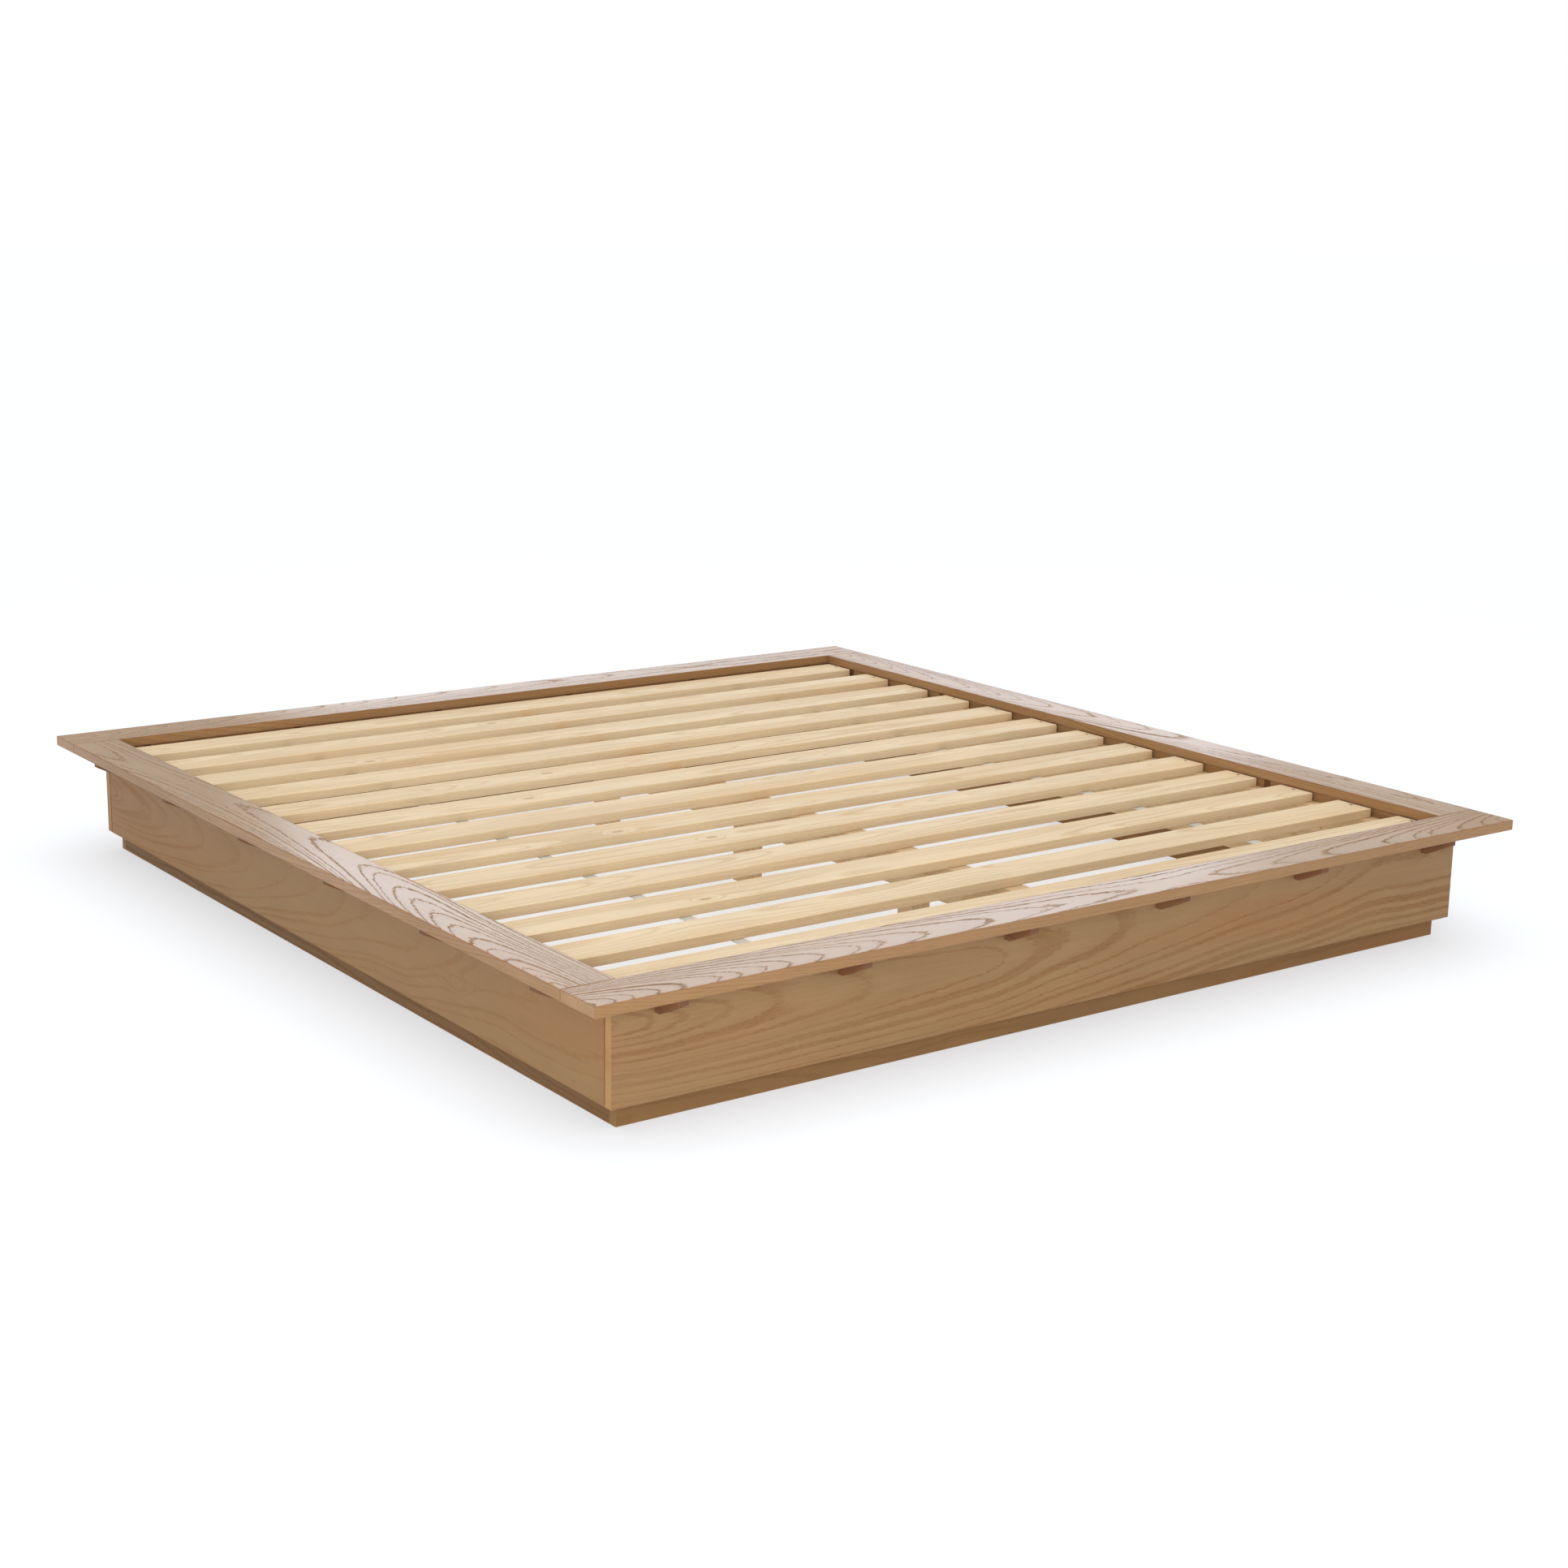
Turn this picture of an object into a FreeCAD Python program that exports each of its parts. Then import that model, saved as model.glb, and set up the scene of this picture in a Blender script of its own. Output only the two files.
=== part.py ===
"""King-size platform bed frame: a wide flat ledge on a panelled box, standing on a recessed plinth.

Row frame, in millimetres: +Z up, origin at the centre of the footprint on the floor, +X across the bed,
+Y from the foot end towards the head end. Each node is written to parts/NODE.step.
"""

import FreeCAD
import Part
import math
import os

Vector = FreeCAD.Vector
X_AXIS, Y_AXIS, Z_AXIS = Vector(1, 0, 0), Vector(0, 1, 0), Vector(0, 0, 1)
DOWN = Vector(0, 0, -1)

# ---- driving dimensions --------------------------------------------------------------------------------
MATTRESS_WIDTH, MATTRESS_LENGTH = 1930, 2032      # king mattress, 76 x 80 in
MATTRESS_GAP_SIDE, MATTRESS_GAP_END = 10, 7       # free space between mattress and ledge
LEDGE_WIDTH, LEDGE_THICK = 102, 20.5
LEDGE_GAP = 0.5                                   # seam where a side ledge meets an end ledge
LEDGE_OVERHANG = 79                               # ledge edge to the panel's outer face
HEIGHT = 248                                      # floor to ledge top

PANEL_THICK = 19.5
PANEL_GAP = 3.0                                   # shadow gap between a side panel's end and an end panel
PANEL_FLOOR_GAP = 39                              # plinth height that shows under the panels

PLINTH_THICK, PLINTH_HEIGHT = 19.5, 64
PLINTH_SETBACK = 22                               # panel face to plinth face
PLINTH_GAP = 1.6

BRACKETS_PER_SIDE = 6
BRACKET_THICK, BRACKET_FIT = 18, 0.2              # board thickness, and play in the panel's notch
BRACKET_ROOT_DEPTH, BRACKET_TIP_DEPTH = 40, 12
BRACKET_FLAT = 12                                 # level stretch next to the panel, before the taper
BRACKET_TIP_SETBACK = 10                          # ledge edge to bracket tip
BRACKET_END_SIDE, BRACKET_END_END = 125, 90       # panel end to the first bracket's centre

RAIL_THICK = 28                                   # inner rail that carries the slats
SLATS = 13
SLAT_WIDTH, SLAT_THICK = 90, 19
SLAT_END_PLAY = 3                                 # slat end to the edge of the ledge above it
SLAT_MARGIN = 12                                  # first slat's edge to the edge of the ledge
STRAP_PLACES = (-620, 620)
STRAP_WIDTH, STRAP_THICK, STRAP_END = 25, 1.2, 5

BEAM_WIDTH, BEAM_HEIGHT, BEAM_END_PLAY = 45, 70, 4
HANGER_THICK, HANGER_SEAT, HANGER_FLANGE, HANGER_RISE, HANGER_ROUND = 2.5, 40, 28, 60, 6
HANGER_PLAY = 1                                   # beam to the hanger's cheek
LEG_PLACES = (-560, 0, 560)
LEG_WIDTH, LEG_BOTTOM = 45, 20

CORNER_BLOCK, CORNER_BLOCK_BOTTOM, CORNER_BLOCK_TOP, CORNER_BLOCK_CHAMFER = 45, 74, 190, 6

# radius of the rounded edges of each kind of board
LEDGE_EASE, PANEL_EASE, PLINTH_EASE, BRACKET_EASE = 1.2, 0.8, 0.6, 1.0
RAIL_EASE, SLAT_EASE, BEAM_EASE = 0.8, 2.0, 1.5

# wood screws: radius and length, then places
BRACKET_SCREW, LEDGE_SCREW, RAIL_SCREW = (2.25, 70), (2, 35), (2, 40)
SLAT_SCREW, HANGER_SCREW = (2, 40), (2, 25)
BRACKET_SCREW_RISE = 10.5                         # bracket's underside to its screw
LEDGE_SCREW_OUT, LEDGE_SCREW_COVER = 30, 5        # panel face to the ledge screw, and wood above its tip
LEDGE_SCREW_BORE = 30                             # depth of the plain bore under the ledge screw's head
RAIL_SCREW_HEIGHTS, HANGER_SCREW_RISES = (105, 165), (12, 48)
SLAT_SCREW_SHIFT = 4                              # middle of the rail and panel stack to the slat screw

# corner bolts and the inserts that they turn in
BOLT_RADIUS, BOLT_LENGTH, BOLT_HEAD_RADIUS, BOLT_HEAD_HEIGHT, BOLT_HEAD_EASE = 3, 60, 5.5, 3.3, 1.4
BOLT_KEY, BOLT_KEY_DEPTH = 4, 2.2
WASHER_RADIUS, WASHER_THICK = 8, 1.2
INSERT_RADIUS, INSERT_LENGTH = 5, 15
CORNER_BOLT_HEIGHTS_SIDE, CORNER_BOLT_HEIGHTS_END = (92, 172), (112, 152)

# dowels: radius and length, then places
LEDGE_DOWEL, LEDGE_DOWEL_STEPS, LEDGE_DOWEL_REACH = (4, 60), (30, 70), 30
PLINTH_DOWEL, PLINTH_DOWEL_HEIGHTS, PLINTH_DOWEL_REACH = (3, 34), (20, 44), 25
RAIL_DOWEL, RAIL_DOWEL_REACH = (4, 50), 25
RAIL_DOWEL_PLACES_SIDE, RAIL_DOWEL_PLACES_END = (-700, 0, 700), (-600, 0, 600)
DOWEL_CHAMFER = 0.8

# centre legs and their levelling feet
LEG_BOLT_RADIUS, LEG_BOLT_DEPTH = 4, 35
STUD_RADIUS, STUD_TOP, STUD_HOLE_TOP = 4, 60, 72
TNUT_FLANGE_RADIUS, TNUT_FLANGE, TNUT_BARREL_RADIUS, TNUT_BARREL = 11, 1.5, 5, 10
PAD_RADIUS, PAD_RIM, PAD_TOP_RADIUS, PAD_TOP = 16, 5, 10, 8.5
PIN_RADIUS, PIN_BOTTOM, PAD_SOCKET = 3, 4, 3.7
COLLAR_WIDTH, COLLAR_BOTTOM, COLLAR_HEIGHT = 13, 9, 5

HOLE_PLAY = 0.1                                   # radial room round a fastener in wood
BOLT_PLAY, STUD_PLAY = 0.3, 0.5                   # radial room of a bolt or stud in a clearance bore
THREAD_PLAY = 0.05                                # radial room of a stud or bolt in its metal thread

# ---- sizes that follow ---------------------------------------------------------------------------------
WELL_HALF_X = MATTRESS_WIDTH / 2 + MATTRESS_GAP_SIDE
WELL_HALF_Y = MATTRESS_LENGTH / 2 + MATTRESS_GAP_END
EDGE_X, EDGE_Y = WELL_HALF_X + LEDGE_WIDTH, WELL_HALF_Y + LEDGE_WIDTH
FACE_X, FACE_Y = EDGE_X - LEDGE_OVERHANG, EDGE_Y - LEDGE_OVERHANG
BACK_X, BACK_Y = FACE_X - PANEL_THICK, FACE_Y - PANEL_THICK
RAIL_X, RAIL_Y = BACK_X - RAIL_THICK, BACK_Y - RAIL_THICK
PLINTH_X, PLINTH_Y = FACE_X - PLINTH_SETBACK, FACE_Y - PLINTH_SETBACK
LEDGE_UNDER = HEIGHT - LEDGE_THICK
SLAT_TOP = LEDGE_UNDER
SLAT_UNDER = SLAT_TOP - SLAT_THICK
BEAM_UNDER = SLAT_UNDER - BEAM_HEIGHT
BRACKET_SCREW_HEIGHT = LEDGE_UNDER - BRACKET_ROOT_DEPTH + BRACKET_SCREW_RISE
LEDGE_SCREW_HEIGHT = HEIGHT - LEDGE_SCREW_COVER - LEDGE_SCREW[1]

# A side is drawn with its outward direction along +X and then turned about Z into place.
# Each row: turn in degrees, centre to panel face, half length of the panel, panel's end to first bracket.
SIDES = {
    "right": (0, FACE_X, FACE_Y, BRACKET_END_SIDE),
    "head": (90, FACE_Y, FACE_X, BRACKET_END_END),
    "left": (180, FACE_X, FACE_Y, BRACKET_END_SIDE),
    "foot": (270, FACE_Y, FACE_X, BRACKET_END_END),
}
LONG_SIDES = ("left", "right")
CORNERS = {"foot_left": (-1, -1), "foot_right": (1, -1), "head_left": (-1, 1), "head_right": (1, 1)}


# ---- helpers -------------------------------------------------------------------------------------------
def box(x0, x1, y0, y1, z0, z1):
    """A box between two corners."""
    return Part.makeBox(x1 - x0, y1 - y0, z1 - z0, Vector(x0, y0, z0))


def eased_board(x0, x1, y0, y1, z0, z1, radius):
    """A board whose twelve edges are rounded."""
    board = box(x0, x1, y0, y1, z0, z1)
    return board.makeFillet(radius, board.Edges)


def rod(radius, length, start, direction):
    return Part.makeCylinder(radius, length, start, direction)


def turned(shape, side):
    """A copy of a shape drawn for the right side, turned to the named side."""
    copy = shape.copy()
    copy.rotate(Vector(0, 0, 0), Z_AXIS, SIDES[side][0])
    return copy


def mirrored_to(shape, corner):
    """A copy of a shape drawn for the +X +Y corner, mirrored into the named corner."""
    sign_x, sign_y = CORNERS[corner]
    copy = shape.copy()
    if sign_x < 0:
        copy = copy.mirror(Vector(0, 0, 0), X_AXIS)
    if sign_y < 0:
        copy = copy.mirror(Vector(0, 0, 0), Y_AXIS)
    return copy


def along(place, direction):
    """Turns a shape drawn up the Z axis from the origin so that it runs along direction from place."""
    return FreeCAD.Placement(place, FreeCAD.Rotation(Z_AXIS, direction))


def placed(shape, place, direction):
    copy = shape.copy()
    copy.Placement = along(place, direction)
    return copy


def solid_of_revolution(points):
    """Turns an outline in the XZ plane about Z."""
    corners = [Vector(r, 0, z) for r, z in points]
    wire = Part.makePolygon(corners + [corners[0]])
    return Part.Face(wire).revolve(Vector(0, 0, 0), Z_AXIS, 360)


# ---- fasteners, each drawn up +Z with its head at the origin -------------------------------------------
def cross_recess(width, depth):
    """The cross-shaped driver recess, cut down from the head's top."""
    arm, blade = width / 2, width / 7
    first = box(-arm, arm, -blade, blade, -0.1, depth)
    second = box(-blade, blade, -arm, arm, -0.1, depth)
    return first.fuse(second)


def wood_screw(radius, length):
    """A countersunk wood screw: flat head, smooth shank and pointed tip."""
    head_radius, head_depth, tip = radius * 2, radius * 1.25, radius * 2
    outline = [
        (0, 0), (head_radius, 0), (head_radius, 0.4), (radius, head_depth),
        (radius, length - tip), (0.2, length), (0, length),
    ]
    return solid_of_revolution(outline).cut(cross_recess(radius * 2.2, radius))


def wood_screw_room(radius, length, counterbore=0):
    """The hole that a wood screw fills, with a plain bore above the head where it sits deep."""
    head_radius, head_depth = radius * 2 + HOLE_PLAY, radius * 1.25 + HOLE_PLAY
    wall = radius + HOLE_PLAY
    outline = [
        (0, -0.5 - counterbore), (head_radius, -0.5 - counterbore), (head_radius, 0.4), (wall, head_depth),
        (wall, length + HOLE_PLAY), (0, length + HOLE_PLAY),
    ]
    return solid_of_revolution(outline)


def hexagon(across_flats, height, base):
    """A hexagonal prism up Z."""
    reach = across_flats / math.sqrt(3)
    corners = [
        Vector(reach * math.cos(math.radians(60 * k)), reach * math.sin(math.radians(60 * k)), base)
        for k in range(6)
    ]
    return Part.Face(Part.makePolygon(corners + [corners[0]])).extrude(Vector(0, 0, height))


def corner_bolt():
    """A button-head bolt on a washer; the head stands out below the origin."""
    crown = -BOLT_HEAD_HEIGHT - WASHER_THICK
    head = Part.makeCylinder(BOLT_HEAD_RADIUS, BOLT_HEAD_HEIGHT, Vector(0, 0, crown))
    head = head.makeFillet(BOLT_HEAD_EASE, [edge for edge in head.Edges if edge.BoundBox.ZMax < crown + 1])
    washer = Part.makeCylinder(WASHER_RADIUS, WASHER_THICK, Vector(0, 0, -WASHER_THICK))
    shank = Part.makeCylinder(BOLT_RADIUS, BOLT_LENGTH - 0.5)
    socket = hexagon(BOLT_KEY, BOLT_KEY_DEPTH, crown - 0.1)
    return head.fuse([washer, shank]).cut(socket).removeSplitter()


# ---- the four sides ------------------------------------------------------------------------------------
def bracket_places(side):
    """Positions of the bracket centres along a side."""
    _, _, half, end = SIDES[side]
    first, pitch = -half + end, 2 * (half - end) / (BRACKETS_PER_SIDE - 1)
    return [first + k * pitch for k in range(BRACKETS_PER_SIDE)]


def middle_places(side):
    """Positions halfway between neighbouring brackets."""
    places = bracket_places(side)
    return [(a + b) / 2 for a, b in zip(places, places[1:])]


def bracket(face):
    """One tapered arm, centred on the along-axis: level beside the panel, then thinning to its tip."""
    inner, tip = face - PANEL_THICK, face + LEDGE_OVERHANG - BRACKET_TIP_SETBACK
    root, half = LEDGE_UNDER - BRACKET_ROOT_DEPTH, BRACKET_THICK / 2
    outline = [
        (inner, LEDGE_UNDER), (inner, root), (face + BRACKET_FLAT, root),
        (tip, LEDGE_UNDER - BRACKET_TIP_DEPTH), (tip, LEDGE_UNDER),
    ]
    corners = [Vector(x, -half, z) for x, z in outline]
    arm = Part.Face(Part.makePolygon(corners + [corners[0]])).extrude(Vector(0, BRACKET_THICK, 0))
    eased = [
        edge for edge in arm.Edges
        if edge.BoundBox.XMax > face + 1 and edge.BoundBox.ZMin < LEDGE_UNDER - 0.5
        and edge.BoundBox.XMin > inner - 0.5 and not edge.BoundBox.XMax < face
    ]
    return arm.makeFillet(BRACKET_EASE, eased)


def side_screws(side):
    """Fastener placements of one side, drawn for the right side: (kind, place, direction)."""
    _, face, _, _ = SIDES[side]
    rail_face = face - PANEL_THICK - RAIL_THICK
    found = []
    for place in bracket_places(side):
        found.append(("bracket", Vector(rail_face, place, BRACKET_SCREW_HEIGHT), X_AXIS))
        found.append(("ledge", Vector(face + LEDGE_SCREW_OUT, place, LEDGE_SCREW_HEIGHT), Z_AXIS))
    for place in middle_places(side):
        for height in RAIL_SCREW_HEIGHTS:
            found.append(("rail", Vector(rail_face, place, height), X_AXIS))
    return found


def screw_rooms(side, *kinds):
    """The holes of a side's screws of the given kinds, in place."""
    rooms = {
        "bracket": wood_screw_room(*BRACKET_SCREW),
        "ledge": wood_screw_room(*LEDGE_SCREW, counterbore=LEDGE_SCREW_BORE),
        "rail": wood_screw_room(*RAIL_SCREW),
    }
    return [
        turned(placed(rooms[kind], place, direction), side)
        for kind, place, direction in side_screws(side) if kind in kinds
    ]


def screws_of(kind, size):
    """Every screw of one kind, on all four sides."""
    screw = wood_screw(*size)
    return [
        turned(placed(screw, place, direction), side)
        for side in SIDES
        for found, place, direction in side_screws(side) if found == kind
    ]


# ---- dowels, bolts and slat places ---------------------------------------------------------------------
def all_dowels():
    """Dowel pins as (radius, length, start, direction): ledge corners, plinth corners, plinth to rails."""
    pins = []
    plinth_mid_x, plinth_mid_y = PLINTH_X - PLINTH_THICK / 2, PLINTH_Y - PLINTH_THICK / 2
    for sign_x, sign_y in CORNERS.values():
        outward = Y_AXIS * sign_y
        ledge_y, ledge_z = sign_y * (WELL_HALF_Y - LEDGE_DOWEL_REACH), HEIGHT - LEDGE_THICK / 2
        for step in LEDGE_DOWEL_STEPS:
            pins.append((*LEDGE_DOWEL, Vector(sign_x * (WELL_HALF_X + step), ledge_y, ledge_z), outward))
        plinth_y = sign_y * (PLINTH_Y - PLINTH_THICK - PLINTH_DOWEL_REACH)
        for height in PLINTH_DOWEL_HEIGHTS:
            pins.append((*PLINTH_DOWEL, Vector(sign_x * plinth_mid_x, plinth_y, height), outward))
    foot_of_pin = PLINTH_HEIGHT - RAIL_DOWEL_REACH
    for sign in (-1, 1):
        for place in RAIL_DOWEL_PLACES_SIDE:
            pins.append((*RAIL_DOWEL, Vector(sign * plinth_mid_x, place, foot_of_pin), Z_AXIS))
        for place in RAIL_DOWEL_PLACES_END:
            pins.append((*RAIL_DOWEL, Vector(place, sign * plinth_mid_y, foot_of_pin), Z_AXIS))
    return pins


def dowel_pin(radius, length):
    pin = Part.makeCylinder(radius, length)
    rims = [edge for edge in pin.Edges if edge.Curve.TypeId == "Part::GeomCircle"]
    return pin.makeChamfer(DOWEL_CHAMFER, rims)


def dowel_rooms():
    return [rod(r + HOLE_PLAY, n + 2, s - d, d) for r, n, s, d in all_dowels()]


def corner_bolt_places():
    """Bolts of the +X +Y corner block as (start, direction): two into each of its rails."""
    middle_x, middle_y = RAIL_X - CORNER_BLOCK / 2, RAIL_Y - CORNER_BLOCK / 2
    sideways = [(Vector(RAIL_X - CORNER_BLOCK, middle_y, h), X_AXIS) for h in CORNER_BOLT_HEIGHTS_SIDE]
    endways = [(Vector(middle_x, RAIL_Y - CORNER_BLOCK, h), Y_AXIS) for h in CORNER_BOLT_HEIGHTS_END]
    return sideways + endways


def slat_centres():
    first = -WELL_HALF_Y + SLAT_MARGIN + SLAT_WIDTH / 2
    pitch = -2 * first / (SLATS - 1)
    return [first + k * pitch for k in range(SLATS)]


def slat_screw_starts():
    reach = (RAIL_X + BACK_X) / 2 - SLAT_SCREW_SHIFT
    return [Vector(sign * reach, y, SLAT_TOP) for y in slat_centres() for sign in (-1, 1)]


# ---- boards --------------------------------------------------------------------------------------------
def ledges():
    rooms, side_y = dowel_rooms(), WELL_HALF_Y - LEDGE_GAP
    spans = {
        "foot": (-EDGE_X, EDGE_X, -EDGE_Y, -WELL_HALF_Y),
        "head": (-EDGE_X, EDGE_X, WELL_HALF_Y, EDGE_Y),
        "left": (-EDGE_X, -WELL_HALF_X, -side_y, side_y),
        "right": (WELL_HALF_X, EDGE_X, -side_y, side_y),
    }
    return {
        f"ledge_{side}": eased_board(*span, LEDGE_UNDER, HEIGHT, LEDGE_EASE).cut(
            rooms + screw_rooms(side, "ledge"))
        for side, span in spans.items()
    }


def panels():
    """End panels run the full width and cover the side panels' ends. Each is notched for its brackets."""
    notch_half, found = (BRACKET_THICK + BRACKET_FIT) / 2, {}
    for side, (_, face, half, _) in SIDES.items():
        reach = half if side not in LONG_SIDES else half - PANEL_THICK - PANEL_GAP
        panel = eased_board(
            face - PANEL_THICK, face, -reach, reach, PANEL_FLOOR_GAP, LEDGE_UNDER, PANEL_EASE)
        notches = [
            box(face - PANEL_THICK - 1, face + 1, place - notch_half, place + notch_half,
                LEDGE_UNDER - BRACKET_ROOT_DEPTH - 0.1, LEDGE_UNDER + 1)
            for place in bracket_places(side)
        ]
        found[f"panel_{side}"] = turned(panel.cut(notches), side).cut(screw_rooms(side, "rail"))
    return found


def plinths():
    """End boards cover the ends of the side boards."""
    rooms, side_y = dowel_rooms(), PLINTH_Y - PLINTH_THICK - PLINTH_GAP
    spans = {
        "foot": (-PLINTH_X, PLINTH_X, -PLINTH_Y, PLINTH_THICK - PLINTH_Y),
        "head": (-PLINTH_X, PLINTH_X, PLINTH_Y - PLINTH_THICK, PLINTH_Y),
        "left": (-PLINTH_X, PLINTH_THICK - PLINTH_X, -side_y, side_y),
        "right": (PLINTH_X - PLINTH_THICK, PLINTH_X, -side_y, side_y),
    }
    return {
        f"plinth_{side}": eased_board(*span, 0, PLINTH_HEIGHT, PLINTH_EASE).cut(rooms)
        for side, span in spans.items()
    }


def brackets():
    """The tapered arms under the ledge, six solids to a side."""
    found = {}
    for side, (_, face, _, _) in SIDES.items():
        rooms = screw_rooms(side, "bracket", "ledge")
        arms = []
        for place in bracket_places(side):
            arm = bracket(face)
            arm.translate(Vector(0, place, 0))
            arms.append(turned(arm, side).cut(rooms))
        found[f"brackets_{side}"] = Part.makeCompound(arms)
    return found


def inner_rails():
    """Rails behind the panels that stand on the plinth and carry the slats on their top edge."""
    room_length = INSERT_LENGTH + 2
    insert_rooms = [
        mirrored_to(rod(INSERT_RADIUS, room_length, start + direction * CORNER_BLOCK, direction), corner)
        for corner in CORNERS for start, direction in corner_bolt_places()
    ]
    slat_rooms = [placed(wood_screw_room(*SLAT_SCREW), start, DOWN) for start in slat_screw_starts()]
    hanger_rooms = [placed(wood_screw_room(*HANGER_SCREW), s, d) for s, d in hanger_screw_places()]
    rooms = insert_rooms + slat_rooms + hanger_rooms + dowel_rooms()
    found = {}
    for side, (_, face, half, _) in SIDES.items():
        reach = half - PANEL_THICK if side in LONG_SIDES else half - PANEL_THICK - RAIL_THICK
        back = face - PANEL_THICK
        rail = eased_board(back - RAIL_THICK, back, -reach, reach, PLINTH_HEIGHT, SLAT_UNDER, RAIL_EASE)
        own = screw_rooms(side, "rail", "bracket")
        found[f"inner_rail_{side}"] = turned(rail, side).cut(own + rooms)
    return found


def corner_blocks():
    """Square blocks in the inner corners; bolts through them draw the rails together."""
    near_x, near_y = RAIL_X - CORNER_BLOCK, RAIL_Y - CORNER_BLOCK
    block = box(near_x, RAIL_X, near_y, RAIL_Y, CORNER_BLOCK_BOTTOM, CORNER_BLOCK_TOP)
    inner_edge = [
        edge for edge in block.Edges
        if edge.BoundBox.XMax < near_x + 1 and edge.BoundBox.YMax < near_y + 1
    ]
    block = block.makeChamfer(CORNER_BLOCK_CHAMFER, inner_edge)
    rooms = [
        rod(BOLT_RADIUS + BOLT_PLAY, CORNER_BLOCK + 2, start - direction, direction)
        for start, direction in corner_bolt_places()
    ]
    block = block.cut(rooms)
    return {f"corner_block_{corner}": mirrored_to(block, corner) for corner in CORNERS}


# ---- the slatted base ----------------------------------------------------------------------------------
def slats():
    half = WELL_HALF_X - SLAT_END_PLAY
    rooms = [placed(wood_screw_room(*SLAT_SCREW), start, DOWN) for start in slat_screw_starts()]
    found = {}
    for number, centre in enumerate(slat_centres(), 1):
        near, far = centre - SLAT_WIDTH / 2, centre + SLAT_WIDTH / 2
        slat = eased_board(-half, half, near, far, SLAT_UNDER, SLAT_TOP, SLAT_EASE)
        found[f"slat_{number:02d}"] = slat.cut(rooms[2 * number - 2:2 * number])
    return found


def webbing():
    """Woven straps stapled under the slats, which keep them at their spacing."""
    half = RAIL_Y - STRAP_END
    straps = [
        box(x - STRAP_WIDTH / 2, x + STRAP_WIDTH / 2, -half, half, SLAT_UNDER - STRAP_THICK, SLAT_UNDER)
        for x in STRAP_PLACES
    ]
    return {"slat_webbing": Part.makeCompound(straps)}


# ---- the centre support --------------------------------------------------------------------------------
def hanger_screw_places():
    """Screws through the flanges of the beam hangers: (start, direction)."""
    reach = BEAM_WIDTH / 2 + HANGER_PLAY + HANGER_THICK + HANGER_FLANGE / 2
    return [
        (Vector(sign_x * reach, sign_y * (RAIL_Y - HANGER_THICK), BEAM_UNDER + rise), Y_AXIS * sign_y)
        for sign_y in (-1, 1) for sign_x in (-1, 1) for rise in HANGER_SCREW_RISES
    ]


def is_flange_corner(edge, cheek):
    """True for the short edges through the plate at the outer corners of a hanger's flanges."""
    bounds = edge.BoundBox
    through_plate = abs(bounds.YLength - HANGER_THICK) < 0.1 and max(bounds.XLength, bounds.ZLength) < 0.1
    return through_plate and abs(bounds.XMin) > cheek + 1


def beam_hangers():
    """Bent steel cups on the end rails that the centre beam drops into."""
    inner = BEAM_WIDTH / 2 + HANGER_PLAY
    outer = inner + HANGER_THICK
    top, under = BEAM_UNDER + HANGER_RISE, BEAM_UNDER - HANGER_THICK
    front, back = RAIL_Y - HANGER_THICK - HANGER_SEAT, RAIL_Y
    plate = box(-outer - HANGER_FLANGE, outer + HANGER_FLANGE, back - HANGER_THICK, back, under, top)
    seat = box(-outer, outer, front, back - HANGER_THICK, under, BEAM_UNDER)
    cheeks = [
        box(x, x + HANGER_THICK, front, back - HANGER_THICK, BEAM_UNDER, top) for x in (-outer, inner)
    ]
    hanger = plate.fuse([seat] + cheeks).removeSplitter()
    rounded = [edge for edge in hanger.Edges if is_flange_corner(edge, outer)]
    hanger = hanger.makeFillet(HANGER_ROUND, rounded)
    rooms = [placed(wood_screw_room(*HANGER_SCREW), s, d) for s, d in hanger_screw_places()]
    foot = hanger.mirror(Vector(0, 0, 0), Y_AXIS)
    return {"beam_hanger_head": hanger.cut(rooms), "beam_hanger_foot": foot.cut(rooms)}


def centre_beam():
    half = RAIL_Y - BEAM_END_PLAY
    beam = eased_board(-BEAM_WIDTH / 2, BEAM_WIDTH / 2, -half, half, BEAM_UNDER, SLAT_UNDER, BEAM_EASE)
    rooms = [
        rod(LEG_BOLT_RADIUS + HOLE_PLAY, LEG_BOLT_DEPTH + 2, Vector(0, y, BEAM_UNDER - 1), Z_AXIS)
        for y in LEG_PLACES
    ]
    return {"centre_beam": beam.cut(rooms)}


def centre_legs():
    """Square legs under the centre beam, bored at the foot for a levelling stud."""
    half, found = LEG_WIDTH / 2, {}
    for number, y in enumerate(LEG_PLACES, 1):
        leg = eased_board(-half, half, y - half, y + half, LEG_BOTTOM, BEAM_UNDER, BEAM_EASE)
        foot, crown = Vector(0, y, LEG_BOTTOM), Vector(0, y, BEAM_UNDER)
        barrel = rod(TNUT_BARREL_RADIUS + HOLE_PLAY, TNUT_BARREL + 1.5, foot - Z_AXIS, Z_AXIS)
        bore = rod(STUD_RADIUS + STUD_PLAY, STUD_HOLE_TOP - LEG_BOTTOM, foot, Z_AXIS)
        bolt = rod(LEG_BOLT_RADIUS + HOLE_PLAY, LEG_BOLT_DEPTH + 2, crown + Z_AXIS, DOWN)
        found[f"centre_leg_{number}"] = leg.cut([barrel, bore, bolt])
    return found


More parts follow.
